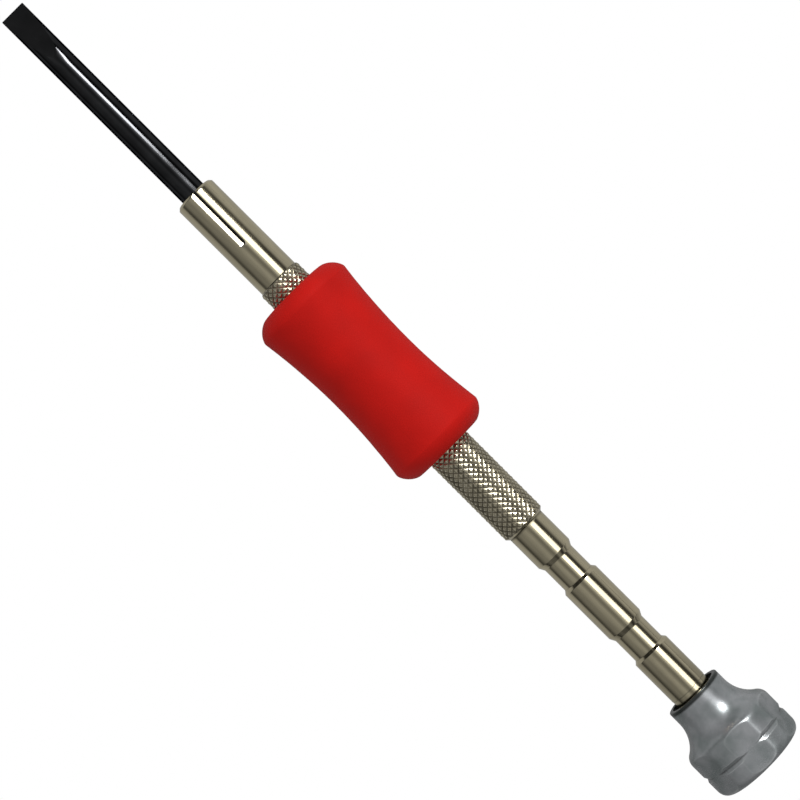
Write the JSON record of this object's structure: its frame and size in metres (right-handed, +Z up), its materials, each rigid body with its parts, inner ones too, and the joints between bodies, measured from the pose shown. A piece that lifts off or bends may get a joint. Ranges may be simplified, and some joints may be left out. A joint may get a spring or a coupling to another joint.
{
  "type": "precision screwdriver",
  "caption": "Slim slotted precision screwdriver: pull-out blade in a split nose, knurled barrel with a stepped tail, waisted cushion grip and a swivel hex knob.",
  "frame": {"origin": "middle of the bounding box in X and Y, at the underside of the cushion's rims, where the tool rests", "axes": "+X along the tool from the blade's tip to the knob's end face, +Z up with the blade's flats facing up and down, +Y across"},
  "size_m": [0.1108, 0.0116, 0.0116],
  "materials": {
    "black_oxide": "black oxide over ground steel, satin, fine grinding marks across the flats",
    "nickel_plate": "warm nickel plate over turned brass, semi-gloss, with fine turning marks",
    "red_cushion": "soft red cushion rubber, matt with a faint skin texture",
    "grey_aluminium": "grey anodised and bead-blasted aluminium, satin, lighter on the edges",
    "bright_steel": "hardened and polished bearing steel",
    "bronze": "turned bronze, semi-gloss, lightly oiled",
    "nylon": "natural nylon, matt"
  },
  "bodies": {
    "handle": {"barrel": "nickel_plate", "chuck_nose": "nickel_plate", "tang_socket": "bright_steel", "cushion_grip": "red_cushion", "spacer_collar": "nickel_plate", "spindle_screw": "bright_steel", "front_race": "bright_steel"},
    "blade": {"blade": "black_oxide"},
    "knob": {"knob_shell": "grey_aluminium", "knob_bush": "nylon", "retaining_washer": "nylon", "rear_race": "bright_steel", "end_cap": "grey_aluminium"},
    "bearing": {"ball_cage": "bronze", "ball_1": "bright_steel", "ball_2": "bright_steel", "ball_3": "bright_steel", "ball_4": "bright_steel", "ball_5": "bright_steel", "ball_6": "bright_steel", "ball_7": "bright_steel", "ball_8": "bright_steel"}
  },
  "joints": [
    {"name": "blade_pull", "type": "slide", "parent": "handle", "child": "blade", "axis": [-1, 0, 0], "range_m": [0, 0.019]},
    {"name": "knob_spin", "type": "hinge", "parent": "handle", "child": "knob", "pos_m": [0.05, 0, 0.0058], "axis": [1, 0, 0], "continuous": true},
    {"name": "bearing_roll", "type": "hinge", "parent": "handle", "child": "bearing", "pos_m": [0.05, 0, 0.0058], "axis": [1, 0, 0], "continuous": true}
  ],
  "couplings": [
    {"joint": "bearing_roll", "follows": "knob_spin", "ratio": 0.5}
  ]
}
